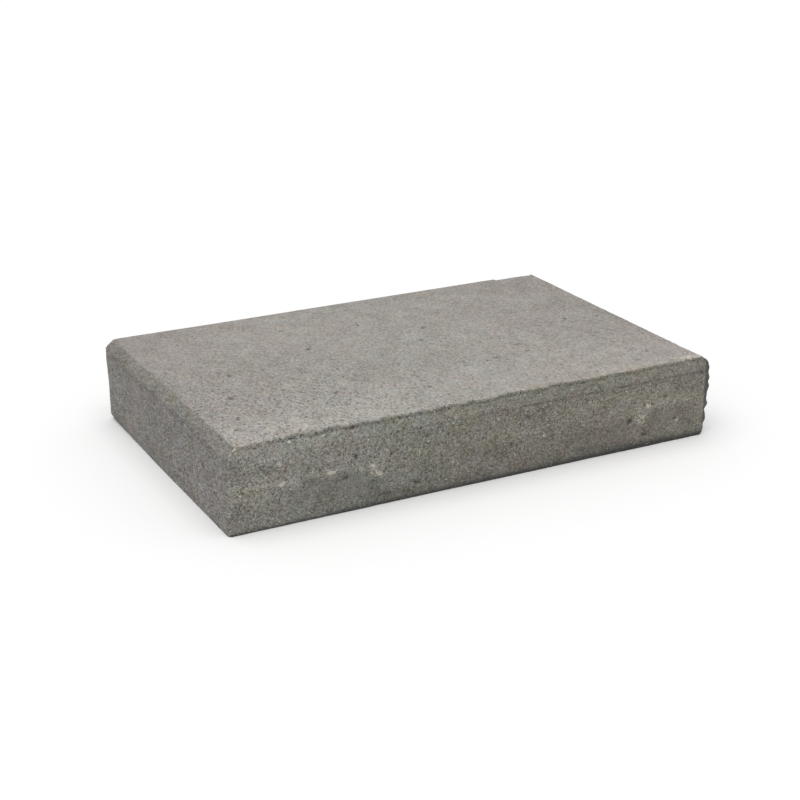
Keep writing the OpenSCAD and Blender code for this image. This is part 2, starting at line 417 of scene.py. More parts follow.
def noise(points, size, seed):
    """Gradient noise from about -1 to 1, with lumps of the given size.

    Each corner of a cubic lattice has a random slope; a point takes the eight slopes round it,
    each as far as the point lies from its corner, blended by an S curve along each axis.
    """
    place = points / size
    cell = np.floor(place).astype(np.int64)
    within = place - cell
    blend = within * within * within * (within * (within * 6 - 15) + 10)
    total = np.zeros(len(points))
    for corner in np.ndindex(2, 2, 2):
        corner = np.array(corner)
        h = scramble(*(cell + corner).T, seed)
        slope = np.stack([share(h, part) for part in range(3)], 1) * 2 - 1
        weight = np.where(corner, blend, 1 - blend).prod(1)
        total += weight * (slope * (within - corner)).sum(1)
    return total * NOISE_GAIN


def fractal(points, size, octaves, seed, gain=0.5):
    """Noise with finer and weaker noise on top: each octave has half the size."""
    layers = [noise(points, size / 2**k, seed + k) * gain**k for k in range(octaves)]
    return sum(layers) / sum(gain**k for k in range(octaves))


def grains(points, size, seed):
    """Random grains: (distance to the nearest grain's middle over size, that grain's own value).

    Each lattice cell holds one grain at a random place; the nearest of the 27 round a point wins.
    """
    place = points / size
    cell = np.floor(place).astype(np.int64)
    nearest = np.full(len(points), np.inf)
    value = np.zeros(len(points))
    for step in np.ndindex(3, 3, 3):
        around = cell + np.array(step) - 1
        h = scramble(*around.T, seed)
        middle = around + np.stack([share(h, part) for part in range(3)], 1)
        away = ((middle - place) ** 2).sum(1)
        closer = away < nearest
        nearest = np.where(closer, away, nearest)
        value = np.where(closer, share(scramble(*around.T, seed + 91), 0), value)
    return np.sqrt(nearest), value


# ---- The slab's surface

# How close to an edge the surface's points are crowded, in metres, and how much closer together
# they are there: at the left and right, the front and back, and the bed, mould line and top
CROWDED = 6 * MM
CROWD_X, CROWD_Y, CROWD_Z = (1.2, 1.4), (4.5, 1), (0.8, 0.8, 1.4)


def stations(reach, spacing, crowded, group=4, fine_points=4001):
    """Places from 0 to reach, closer together near each crowded (place, gain).

    The places share out the running total of a weight, which is 1 far away and rises smoothly
    by the gain near such a place. Their number of steps divides by group.
    """
    fine = np.linspace(0, reach, fine_points)
    weight = 1 + sum(gain * smooth(CROWDED, 0, np.abs(fine - at)) for at, gain in crowded)
    total = np.concatenate([[0], np.cumsum((weight[1:] + weight[:-1]) / 2)]) * fine[1]
    steps = group * math.ceil(total[-1] / spacing / group)
    return np.interp(np.linspace(0, total[-1], steps + 1), total, fine)


def patch(keys, outward):
    """Quads between the rows and columns of a grid of point keys, turned over if not outward."""
    corners = [keys[:-1, :-1], keys[1:, :-1], keys[1:, 1:], keys[:-1, 1:]]
    quads = np.stack(corners, -1).reshape(-1, 4)
    return quads if outward else quads[:, ::-1]


def bed_patch(keys, group):
    """The bed in squares of group by group steps: (inner quads, rings of points along the edge).

    The squares along the edge keep every point of their outer sides, so the bed meets the fine
    sides without a gap.
    """
    coarse = keys[::group, ::group]
    nx, ny = (n - 1 for n in coarse.shape)
    rings = []
    for i, j in np.ndindex(nx, ny):
        if 0 < i < nx - 1 and 0 < j < ny - 1:
            continue
        cell = keys[i * group : (i + 1) * group + 1, j * group : (j + 1) * group + 1]
        low = cell[:: 1 if j == 0 else group, 0]
        right = cell[-1, :: 1 if i == nx - 1 else group]
        high = cell[:: 1 if j == ny - 1 else group, -1]
        left = cell[0, :: 1 if i == 0 else group]
        rings.append(np.concatenate([left[:-1], high[:-1], right[:0:-1], low[:0:-1]]))
    return patch(coarse[1:-1, 1:-1], outward=False), rings


def box_surface(xs, ys, zs, group=4):
    """The six faces of a box as one closed net: (places of its points, faces as point numbers).

    The points are those of a lattice with the given stations that lie on the box's faces, so
    neighbouring faces share the points of their common edge.
    """
    counts = [len(s) for s in (xs, ys, zs)]
    key = np.arange(np.prod(counts)).reshape(counts)
    bed, rings = bed_patch(key[:, :, 0], group)
    quads = np.concatenate(
        [
            patch(key[:, :, -1], True),
            patch(key[:, 0, :], True),
            patch(key[:, -1, :], False),
            patch(key[-1, :, :], True),
            patch(key[0, :, :], False),
            bed,
        ]
    )
    used = np.unique(quads)
    number = np.zeros(key.size, int)
    number[used] = np.arange(len(used))
    i, j, k = np.unravel_index(used, counts)
    places = np.stack([xs[i], ys[j], zs[k]], 1)
    return places, number[quads].tolist() + [number[ring].tolist() for ring in rings]


def eased_meet(a, b, ease):
    """How far outside two half-spaces at once a point lies, with their common edge rounded.

    a and b are the distances past each plane. Within ease of both, the distance is measured from
    an arc's centre, and elsewhere the larger of the two counts.
    """
    beyond = np.hypot(np.maximum(a + ease, 0), np.maximum(b + ease, 0))
    return beyond + np.minimum(np.maximum(a, b) + ease, 0) - ease


def outside_slab(points, slab):
    """How far outside the slab's plain outline each point lies: the largest of its three outlines.

    The long section is a rectangle with its upper corners chamfered at 45 degrees. The cross
    section and the plan are rectangles with rounded corners.
    """
    x, y, z = np.abs(points[:, 0]), np.abs(points[:, 1]), points[:, 2]
    torn = points[:, 0] > 0
    end, long_side = x - SLAB_LENGTH / 2, y - SLAB_DEPTH / 2
    top, bed = z - SLAB_HEIGHT, -z
    chamfer = (end + top + np.where(torn, slab.torn_chamfer, slab.chamfer)) / math.sqrt(2)
    brow = eased_meet(eased_meet(end, chamfer, slab.chamfer_ease), top, slab.chamfer_ease)
    section = eased_meet(long_side, bed, slab.bed_ease)
    section = np.maximum(section, eased_meet(long_side, top, slab.top_ease))
    plan = eased_meet(end, long_side, np.where(torn, slab.torn_corner, slab.corner_ease))
    return np.maximum.reduce([brow, section, plan, bed])


def plain_slab(places, slab, inset=9 * MM, halvings=26):
    """Pulls the points of a box in to the slab's plain outline: (points, outward directions).

    Each point moves straight towards the nearest point of a smaller box inside, until it lies on
    the outline, found by halving the stretch between them. Its direction points back out.
    """
    low = np.array([-SLAB_LENGTH / 2, -SLAB_DEPTH / 2, 0]) + inset
    high = np.array([SLAB_LENGTH / 2, SLAB_DEPTH / 2, SLAB_HEIGHT]) - inset
    core = np.clip(places, low, high)
    arm = places - core
    near, far = np.zeros(len(places)), np.ones(len(places))
    for _ in range(halvings):
        middle = (near + far) / 2
        out = outside_slab(core + arm * middle[:, None], slab) > 0
        near, far = np.where(out, near, middle), np.where(out, middle, far)
    outward = arm / np.linalg.norm(arm, axis=1, keepdims=True)
    return core + arm * far[:, None], outward


def slopes(points, slab, reach=0.05 * MM):
    """Unit normals of the plain outline: how fast its distance grows along each axis."""
    steps = np.eye(3) * reach
    rise = [outside_slab(points + s, slab) - outside_slab(points - s, slab) for s in steps]
    normal = np.stack(rise, 1)
    return normal / np.linalg.norm(normal, axis=1, keepdims=True)


# How much a normal points along an axis where its point starts to count as a face's, and where it
# counts in full: for the top and bed, for the upright faces, and up and sideways for the chamfers
LEVEL, UPRIGHT, RISING, LEANING = (0.8, 0.95), (0.6, 0.9), (0.4, 0.65), (0.3, 0.6)
# Stretch of a noise that stays the same all along an axis
ENDLESS = 1e9
# How ragged the spots are, how large their raggedness is in mm, and from where to where they fade
SPOT_RAGGED, SPOT_GRAIN, SPOT_RIM = 0.35, 2.5, (1.25, 0.55)


class Skin:
    """The plain slab's points, the share of each face at each one, and where they lie.

    x, y, z and drop are millimetres from the left end, the front, the bed and the top, and so
    are the sizes and places that its methods take.
    """

    def __init__(self, slab):
        along, across, up = slab.spacing
        line = SLAB_HEIGHT - slab.line_drop
        xs = stations(SLAB_LENGTH, along, zip((0, SLAB_LENGTH), CROWD_X))
        ys = stations(SLAB_DEPTH, across, zip((0, SLAB_DEPTH), CROWD_Y))
        zs = stations(SLAB_HEIGHT, up, zip((0, line, SLAB_HEIGHT), CROWD_Z))
        places, self.faces = box_surface(xs - SLAB_LENGTH / 2, ys - SLAB_DEPTH / 2, zs)
        self.points, self.outward = plain_slab(places, slab)
        self.seed = slab.seed
        self.x = (self.points[:, 0] + SLAB_LENGTH / 2) / MM
        self.y = (self.points[:, 1] + SLAB_DEPTH / 2) / MM
        self.z = self.points[:, 2] / MM
        self.drop = SLAB_HEIGHT / MM - self.z
        right, back, above = slopes(self.points, slab).T
        self.top = smooth(*LEVEL, above)
        self.bed = smooth(*LEVEL, -above)
        self.front = smooth(*UPRIGHT, -back)
        self.back = smooth(*UPRIGHT, back)
        self.left = smooth(*UPRIGHT, -right)
        self.right = smooth(*UPRIGHT, right)
        self.chamfer = smooth(*RISING, above) * (1 - self.top) * smooth(*LEANING, np.abs(right))
        self.side = 1 - self.top - self.bed
        self.smears = self.spots(SMEARS, self.z, 60)
        self.nicks = self.spots(NICKS, self.z, 61)
        self.pits = self.spots(PITS, self.y, 62)

    def past(self, start, end):
        """Share of the way along the length, from 0 at start to 1 at end."""
        return smooth(start, end, self.x)

    def follow(self, line, column=1):
        """The value at each point's x of a broken line through (x, value, ...) points."""
        columns = list(zip(*line))
        return np.interp(self.x, columns[0], columns[column])

    def ragged(self, size, seed):
        """Noise that runs along the length only, so that it is the same all the way down."""
        return self.noise(size, seed, 3, (1, ENDLESS, ENDLESS))

    def noise(self, size, seed, octaves=2, stretch=(1, 1, 1)):
        """Noise over the surface, with lumps longer along the axes where stretch is over 1.

        The seed sets it apart from the other noises of its size and stretch.
        """
        return fractal(self.points / MM / np.array(stretch), size, octaves, self.seed + seed)

    def zones(self, mark):
        """Sum of a mark's zones: the face's share times the zone's own share and its ramps."""
        total = np.zeros(len(self.x))
        for (name, face), rows in ZONES.items():
            if name != mark:
                continue
            for share, *ramps in rows:
                for axis, low, high in ramps:
                    share = share * smooth(low, high, getattr(self, axis))
                total += share * getattr(self, face)
        return total

    def patches(self, places, along, across):
        """Sum of soft oval patches, each its tone times a bell curve along each of its two axes."""
        total = np.zeros(len(self.x))
        for place, middle, half_length, half_width, percent in places:
            oval = bell(place, half_length, along) * bell(middle, half_width, across)
            total += percent / 100 * oval
        return total

    def spots(self, places, across, seed):
        """Strongest share of some ragged oval spots: in full well inside, 0 from the rim on.

        The distance from a spot's middle, in its own turned axes over its half sizes, is made
        ragged by fine noise, and the spot's strength multiplies its share.
        """
        ragged = SPOT_RAGGED * self.noise(SPOT_GRAIN, seed)
        share = np.zeros(len(self.x))
        for x, middle, half_length, half_width, *rest in places:
            tilt, strength = rest or (0, 1)
            cos, sin = math.cos(math.radians(tilt)), math.sin(math.radians(tilt))
            a, b = self.x - x, across - middle
            away = np.hypot((a * cos + b * sin) / half_length, (b * cos - a * sin) / half_width)
            share = np.maximum(share, strength * smooth(*SPOT_RIM, away + ragged))
        return share


def hollow_share(skin):
    """Share of the full hollow below the front's crest.

    The face falls back within 6 mm round the crest, and comes forward again 13 to 25 mm below.
    """
    below = skin.follow(CREST) + 1.2 * skin.noise(9, 40, 2, (1, 1, ENDLESS)) - skin.z
    return skin.front * skin.follow(HOLLOW) * smooth(-1, 5, below) * smooth(25, 13, below)


def line_share(skin, slab):
    """Share of the mould line: 1 along its middle, down to 0 at its sides, in a broken V."""
    middle = slab.line_drop / MM + LINE_SAG + 0.25 * skin.noise(25, 45, 2, (1, 1, ENDLESS))
    across = np.abs(skin.drop - middle) / (slab.line_width / MM / 2)
    broken = np.clip(0.8 + 0.6 * skin.noise(9, 46), 0, 1)
    return skin.front * skin.follow(LINE) * np.clip(1 - across, 0, 1) * broken


def crumb_share(skin):
    """Share of the crumbs lost just below the front's top arris, and of a few at the back."""
    bite = np.clip(0.55 + 1.7 * skin.noise(3, 50, 2), 0, 1)
    where = skin.front * skin.past(14, 34) + 0.1 * skin.back
    return where * bell(CRUMB_DROP, CRUMB_SPREAD, skin.drop) * bite


def cast_relief(skin, relief):
    """Unevenness from casting: broad swells, finger-wide ripples and single grains of sand.

    Swells and ripples are weaker on the top. The bed is sunk a little, by a share that varies.
    """
    height = skin.noise(SWELL_SIZE, 0, 3) * relief.swell * (0.3 + 0.7 * skin.side)
    height += skin.noise(RIPPLE_SIZE, 10, 3) * relief.ripple * (0.25 + 0.75 * skin.side)
    distance, _ = grains(skin.points / MM, SAND_SIZE, skin.seed + 20)
    height += (0.55 - distance) * (relief.top_sand * skin.top + relief.sand * skin.side)
    height *= 1 - skin.bed
    return height - relief.bed * skin.bed * (1 + skin.noise(40, 30))


def front_relief(skin, slab, relief):
    """The front: hollows below the crest, the mould line, smears of slurry and nicks."""
    height = skin.front * (relief.smear * skin.smears - relief.pit * skin.nicks)
    return height - relief.hollow * hollow_share(skin) - relief.line * line_share(skin, slab)


def top_relief(skin, relief):
    """The top face: its slight rise towards the back, and its pits.

    The rise is higher by a half and more at the left, and lower at the torn right end.
    """
    rise = relief.rise * smooth(150, 250, skin.y) * (1 + 0.6 * (1 - skin.past(20, 90)))
    rise *= 1 - 0.7 * skin.past(380, 402)
    return (skin.top + skin.chamfer) * rise - 0.8 * relief.pit * skin.top * skin.pits


def arris_relief(skin, slab, relief):
    """Crumbs lost below the long top arrises and along the chamfers' arrises, and a back chip.

    The chip and the notch are cut at 45 degrees: their depth less the distances from the back and
    from the top, over the root of 2.
    """
    height = -relief.crumble * crumb_share(skin)
    bite = np.clip(0.4 + skin.noise(4, 52, 3), 0, 1)
    from_right = SLAB_LENGTH / MM - skin.x
    for inset, size in ((skin.x, slab.chamfer / MM), (from_right, slab.torn_chamfer / MM)):
        for away in (np.hypot(inset - size, skin.drop), np.hypot(inset, skin.drop - size)):
            height -= 0.35 * relief.crumble * bell(0, 2, away) * bite
    chip = skin.past(*CHIP_START) * (1 - 0.5 * skin.past(*CHIP_END))
    chip *= CHIP_DEPTH + 0.4 * skin.noise(8, 56)
    chip += NOTCH_DEPTH * smooth(2.5, 0.5, np.abs(skin.x - NOTCH_PLACE))
    from_back = SLAB_DEPTH / MM - skin.y
    return height - np.clip(chip - from_back - skin.drop, 0, None) / math.sqrt(2) * MM


def arris_wear(skin):
    """How far the rim of the front's top arris is broken back, and how far it is worn down.

    The wear is ragged and uneven. Above 0 it takes the rim back towards +Y. Below 0 a share of it
    takes the rim down, and the front face stays plumb.
    """
    wear = skin.follow(WEAR) + 4 * skin.ragged(3.5, 55) + 3 * skin.ragged(1.7, 57)
    rim = smooth(7, 0.5, skin.y) * smooth(4.2, 1.2, skin.drop) * (1 - skin.back) * MM
    return np.clip(wear, 0, MOST_BACK) * rim, DOWN_SHARE * np.clip(-wear, 0, MOST_WORN) * rim


def end_shift(skin, relief):
    """How far towards +X the ends stand off their plain faces.

    The right end steps out just behind a crisp front arris, is torn into lumps that are lower
    further back, and draws in at its back corner. The left end stands proud towards its back,
    most of all near the top, above a worn foot.
    """
    proud = np.interp(skin.z, *zip(*TORN)) * MM * (1 - 0.7 * smooth(9, 30, skin.y))
    distance, value = grains(skin.points / MM, LUMP_SIZE, skin.seed + 70)
    lumps = np.clip(1 - distance / 0.7, 0, 1) * (0.3 + 0.7 * value) - 0.2
    lumps += 0.5 * skin.noise(3, 71, 1)
    proud += relief.torn * lumps * smooth(3, 10, skin.y) * smooth(2, 10, skin.z)
    step = smooth(0.2, 1.5, skin.y)
    foot = FOOT_ROUND - np.sqrt(FOOT_ROUND**2 - np.clip(FOOT_ROUND - skin.z, 0, None) ** 2)
    corner = 1.5 * smooth(200, 235, skin.y) + 3 * np.clip((skin.y - 247) / 7, 0, 1) ** 2
    right = proud * step - (0.7 * (1 - step) + foot + corner) * MM
    lip = relief.lip * (0.6 + 0.4 * smooth(30, 55, skin.z)) * smooth(0, 8, skin.z)
    lip -= 1.4 * MM * smooth(5, 0, skin.z)
    left = lip * smooth(120, 250, skin.y) * smooth(9, 1, skin.x)
    return right * smooth(7, 0.5, SLAB_LENGTH / MM - skin.x) - left


def front_tone(skin):
    """How much lighter or darker the front's skin is than its zones make it."""
    blotches = 0.10 * skin.noise(26, 80, 3, (1.6, 1, 1))
    return blotches + 0.14 * skin.smears + skin.patches(FRONT_PATCHES, skin.x, skin.z)


def top_tone(skin):
    """How much lighter or darker the top's skin is than its zones make it.

    The lip by the left corner is lighter along its middle and darker on its rim, and the skin is
    darker along the front rim, the more where the rim is worn back. Both darker rims are painted
    shade, where the skin turns down over the arris.
    """
    near_left = (1 - skin.past(18, 27)) * (1 - skin.chamfer)
    lip = near_left * (0.12 * bell(4.4, 2, skin.y) - 0.04 * smooth(2.5, 0.5, skin.y))
    # Painted shade along the top's front rim, deeper where the rim is worn back
    rim_shade = (0.02 + 0.04 * np.clip(skin.follow(WEAR), 0, 2)) * skin.past(28, 34)
    rim_shade *= smooth(5.5, 0.5, skin.y) * (1 - skin.past(375, 390)) * (1 + 1.2 * skin.noise(3, 58, 1))
    blotches = 0.05 * skin.noise(45, 82, 3)
    return lip - rim_shade + blotches + skin.patches(TOP_PATCHES, skin.x, skin.y)


def end_tone(skin):
    """How much lighter the ends and the back are: darker below the chamfer, lighter further down."""
    bands = 0.03 * smooth(44, 34, skin.z) - 0.1 * smooth(50, 56, skin.z) * (1 - skin.chamfer)
    blotches = 0.06 * skin.noise(40, 83, 3) + 0.06 * (1 - skin.left) * skin.noise(26, 80, 3)
    return blotches + bands + skin.patches(END_PATCHES, skin.y, skin.z)


def shade_share(skin, slab):
    """Share of the dark colour, painted shade: in the hollows, lines and crumbs, by the bed and on the
    torn end.
    """
    # Painted shadow along the foot where the bed meets the floor, partly dirt, and painted shade below
    # the top arris where its rim is broken back
    contact = smooth(skin.follow(FOOT), 0.8, skin.z) * skin.follow(FOOT, 2)
    slope = 0.03 * np.clip(skin.follow(WEAR), 0, 2) * bell(3.3, 1.3, skin.drop)
    share = skin.zones("shade") + skin.front * (contact + slope)
    share += 0.1 * smooth(0, 2, arris_wear(skin)[0] / MM)
    # Painted shade in the hollows, the mould line's groove and the crumbs' bites
    share += 0.24 * hollow_share(skin) + 0.6 * line_share(skin, slab) + 0.03 * crumb_share(skin)
    # Painted shade on the torn right end, darkest along its front strip
    torn_end_shade = 0.06 + 0.66 * smooth(22, 5, skin.y + 7 * skin.noise(9, 72))
    return np.clip(share * (1 - skin.top) + torn_end_shade * skin.right, 0, 0.9)


def rosy_share(skin):
    """How rosy rather than greenish the cement is, in blotches and from place to place."""
    front = 0.3 * skin.smears + 0.5 * bell(351, 5, skin.x) * bell(35, 4, skin.z)
    top = skin.patches(ROSY_PATCHES, skin.x, skin.y)
    blotches = 0.25 * skin.noise(30, 85, 2)
    return 0.5 + blotches + skin.zones("rosy") + skin.top * top + skin.front * front


def warm_share(skin):
    """How yellowish rather than bluish the cement is: least at the front's left and its foot."""
    blotches = 0.25 * skin.noise(26, 88, 2)
    return 0.5 + blotches + skin.zones("warm") + 0.5 * skin.front * skin.smears


def surface_marks(skin, slab):
    """What colours the concrete at each point, as values that the mesh carries."""
    tone = skin.zones("tone") + skin.front * front_tone(skin) + skin.top * top_tone(skin)
    tone += (1 - skin.front - skin.top) * end_tone(skin)
    shade = shade_share(skin, slab)
    lip = 0.45 * (1 - skin.past(19, 27)) * bell(4.3, 1.8, skin.y)
    slurry = np.maximum(skin.smears, skin.spots(QUARTZ, skin.z, 63))
    coarse = 1.15 + skin.zones("coarse") - 0.4 * skin.chamfer - 0.3 * hollow_share(skin)
    low = skin.front * smooth(34, 24, skin.z)
    pinholes = coarse - 0.88 + 0.3 * skin.top + 0.14 * low + 0.16 * skin.chamfer
    pinholes -= 0.05 * skin.front * (1 - skin.past(60, 150)) * (1 - low)
    specks = (0.85 * coarse - 0.7 * skin.top) * (1 - 0.35 * low) * (1 - 0.5 * skin.chamfer)
    specks += skin.front * (0.1 * (1 - low) + 0.25 * bell(4, 3, skin.drop))
    # Dark crumbs below the front's top arris: partly darker broken concrete, partly painted shade in
    # their bites
    crumbs = (0.36 - 0.13 * skin.past(200, 320)) * (0.3 + 0.7 * skin.past(32, 48))
    crumbs *= bell(2.1, 1.2, skin.drop + 0.7 * skin.ragged(7, 59))
    return {
        "skin_top": skin.top,
        "skin_end": np.maximum(skin.left, skin.right) * (1 - skin.chamfer),
        "skin_chamfer": skin.chamfer,
        "tone": tone,
        "shade": shade,
        "rosy": rosy_share(skin),
        "warm": warm_share(skin),
        "pale": np.maximum(skin.front * slurry, skin.top * lip + skin.zones("pale")),
        "pit": skin.front * skin.nicks + skin.top * skin.pits,
        "crumbs": skin.front * crumbs + skin.zones("crumbs"),
        "coarse": coarse,
        "pinholes": np.clip(pinholes, 0, 1),
        "specks": np.clip(specks, 0, 1) * (1 - shade),
    }


class SlabOperator(bpy.types.Operator):
    """Cast the slab: one closed surface with its relief, its surface marks and its concrete"""

    bl_idname = "wall_cap.cast_slab"
    bl_label = "Cast slab"

    def execute(self, context):
        scene = context.scene
        slab, relief = scene.cap_slab, scene.cap_relief
        skin = Skin(slab)
        height = cast_relief(skin, relief) + top_relief(skin, relief)
        height += front_relief(skin, slab, relief) + arris_relief(skin, slab, relief)
        points = skin.points + skin.outward * height[:, None]
        points[:, 0] += end_shift(skin, relief)
        back, down = arris_wear(skin)
        points[:, 1] += back
        points[:, 2] = np.maximum(points[:, 2] - down, 0)

        mesh = bpy.data.meshes.new("cast_slab")
        mesh.from_pydata(points, [], skin.faces)
        mesh.shade_smooth()
        for name, values in surface_marks(skin, slab).items():
            layer = mesh.attributes.new(name, "FLOAT", "POINT")
            layer.data.foreach_set("value", values.astype(np.float32))
        mesh.materials.append(concrete(scene.cap_colours, scene.cap_grain))
        piece = bpy.data.objects.new("cast_slab", mesh)
        scene.collection.objects.link(piece)
        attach(piece, "root")
        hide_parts("wall_cap")
        return {"FINISHED"}


# ---- The concrete

# Turn of the noise about X, Y and Z, so that its lattice is aligned with no face of the slab
NOISE_TURN = (0.6, 0.4, 0.9)
# How the noise is squeezed along X, Y and Z: loosely for stains, and packed for sand
LOOSE, PACKED = (1, 0.8, 1.1), (1.15, 0.75, 1.3)
# Shifts that keep noises of like size apart
WARM_SHIFT, PINHOLE_SHIFT, SPECK_SHIFT = (0.7, 0.5, 0.9), (0.31, 0.17, 0.23), (0.13, 0.27, 0.11)
# How far the stains swing the tints, and how much less they do so on the top face
ROSY_SWING, WARM_SWING = (2.1, 0.75), (2.7, 1.1)
# How strong the grain is as a whole and each size of noise in it, and how much less on the top face
GRAIN_GAIN, FINE_WEIGHT, SAND_WEIGHT, COARSE_WEIGHT = (1, 0.15), (1, 0.3), 1.2, (0.5, 0.28)
BLOTCH_WEIGHT = 0.5
# Share of the grain's own colour in the grain, beside the skin's
GRAIN_SHARE = 0.6
# How much the fine sand and the sand make the rims of spots and crumbs ragged
SPOT_FINE, SPOT_SAND, CRUMB_FINE, CRUMB_SAND = 1.6, 1.2, 1.2, 3.2
# Where the noise of each kind of speck or spot sets in, and where it is full
PINHOLE_STEP, SPECK_STEP, PALE_STEP = (-0.12, -0.22), (0.15, 0.25), (0.4, 0.8)
PIT_STEP, CRUMB_STEP = (0.45, 0.8), (0.48, 0.6)
# From where to where the mark of the crumbs lets them in
CRUMB_START = (0.05, 0.2)
# Height in mm where the noise of the fine sand, the sand or the specks is 1, and pinhole depth
FINE_RISE, SAND_RISE, SPECK_RISE, PINHOLE_SINK = 0.4, 0.5, 0.1, 0.5
# How much of its colour each kind of spot gives
PALE_COVER, PIT_COVER, CRUMB_COVER = 0.93, 0.7, 0.85
# How rough and how mirroring dry concrete is
ROUGHNESS, SPECULAR = 0.92, 0.25


class Signal:
    """A node's output that Python arithmetic turns into Math nodes."""

    def __init__(self, net, socket):
        self.net, self.socket = net, socket

    def maths(self, operation, *values):
        return self.net.add("ShaderNodeMath", {"operation": operation}, dict(enumerate(values)))

    def __add__(self, other):
        return self.maths("ADD", self, other)

    __radd__ = __add__

    def __sub__(self, other):
        return self.maths("SUBTRACT", self, other)

    def __rsub__(self, other):
        return self.maths("SUBTRACT", other, self)

    def __mul__(self, other):
        return self.maths("MULTIPLY", self, other)

    __rmul__ = __mul__

    def step(self, low, high):
        """0 below low, 1 above high and an S between; falls instead where low is above high."""
        settings = {"interpolation_type": "SMOOTHSTEP"}
        return self.net.add("ShaderNodeMapRange", settings, {0: self, 1: low, 2: high})


class NodeNet:
    """Builds the nodes of one material or world."""

    def __init__(self, owner):
        owner.use_nodes = True
        self.tree = owner.node_tree
        self.tree.nodes.clear()

    def add(self, kind, settings=None, inputs=None, output=0):
        """Adds a node, sets it up, feeds its inputs with values or signals, and gives an output."""
        node = self.tree.nodes.new(kind)
        for name, value in (settings or {}).items():
            setattr(node, name, value)
        for name, value in (inputs or {}).items():
            if isinstance(value, Signal):
                self.tree.links.new(value.socket, node.inputs[name])
            else:
                node.inputs[name].default_value = value
        return Signal(self, node.outputs[output]) if node.outputs else None

    def backdrop(self):
        """1 for the rays that show the surroundings: the camera's, mirrored and let through."""
        rays = ("Is Camera Ray", "Is Glossy Ray", "Is Transmission Ray")
        seen, mirrored, through = (self.add("ShaderNodeLightPath", output=ray) for ray in rays)
        return seen + mirrored + through

    def mark(self, name):
        """A value that the mesh carries at each point."""
        return self.add("ShaderNodeAttribute", {"attribute_name": name}, output="Fac")

    def mix(self, amount, first, second):
        """Two colours mixed, each a signal or a colour setting."""
        first, second = (c if isinstance(c, Signal) else (*c, 1) for c in (first, second))
        inputs = {0: amount, 6: first, 7: second}
        return self.add("ShaderNodeMix", {"data_type": "RGBA"}, inputs, output=2)

    def vector(self, operation, *values):
        """Vector Math on colours or places."""
        return self.add("ShaderNodeVectorMath", {"operation": operation}, dict(enumerate(values)))

    def scaled(self, vector, amount):
        """A colour or a vector times a value."""
        settings = {"operation": "SCALE"}
        return self.add("ShaderNodeVectorMath", settings, {"Vector": vector, "Scale": amount})

    def clouds(self, place, size, detail=1.0, roughness=0.5):
        """Soft noise round 0, mostly within a quarter of it, with lumps of the given size."""
        inputs = {"Vector": place, "Scale": 1 / size, "Detail": detail, "Roughness": roughness}
        return self.add("ShaderNodeTexNoise", None, inputs) - 0.5


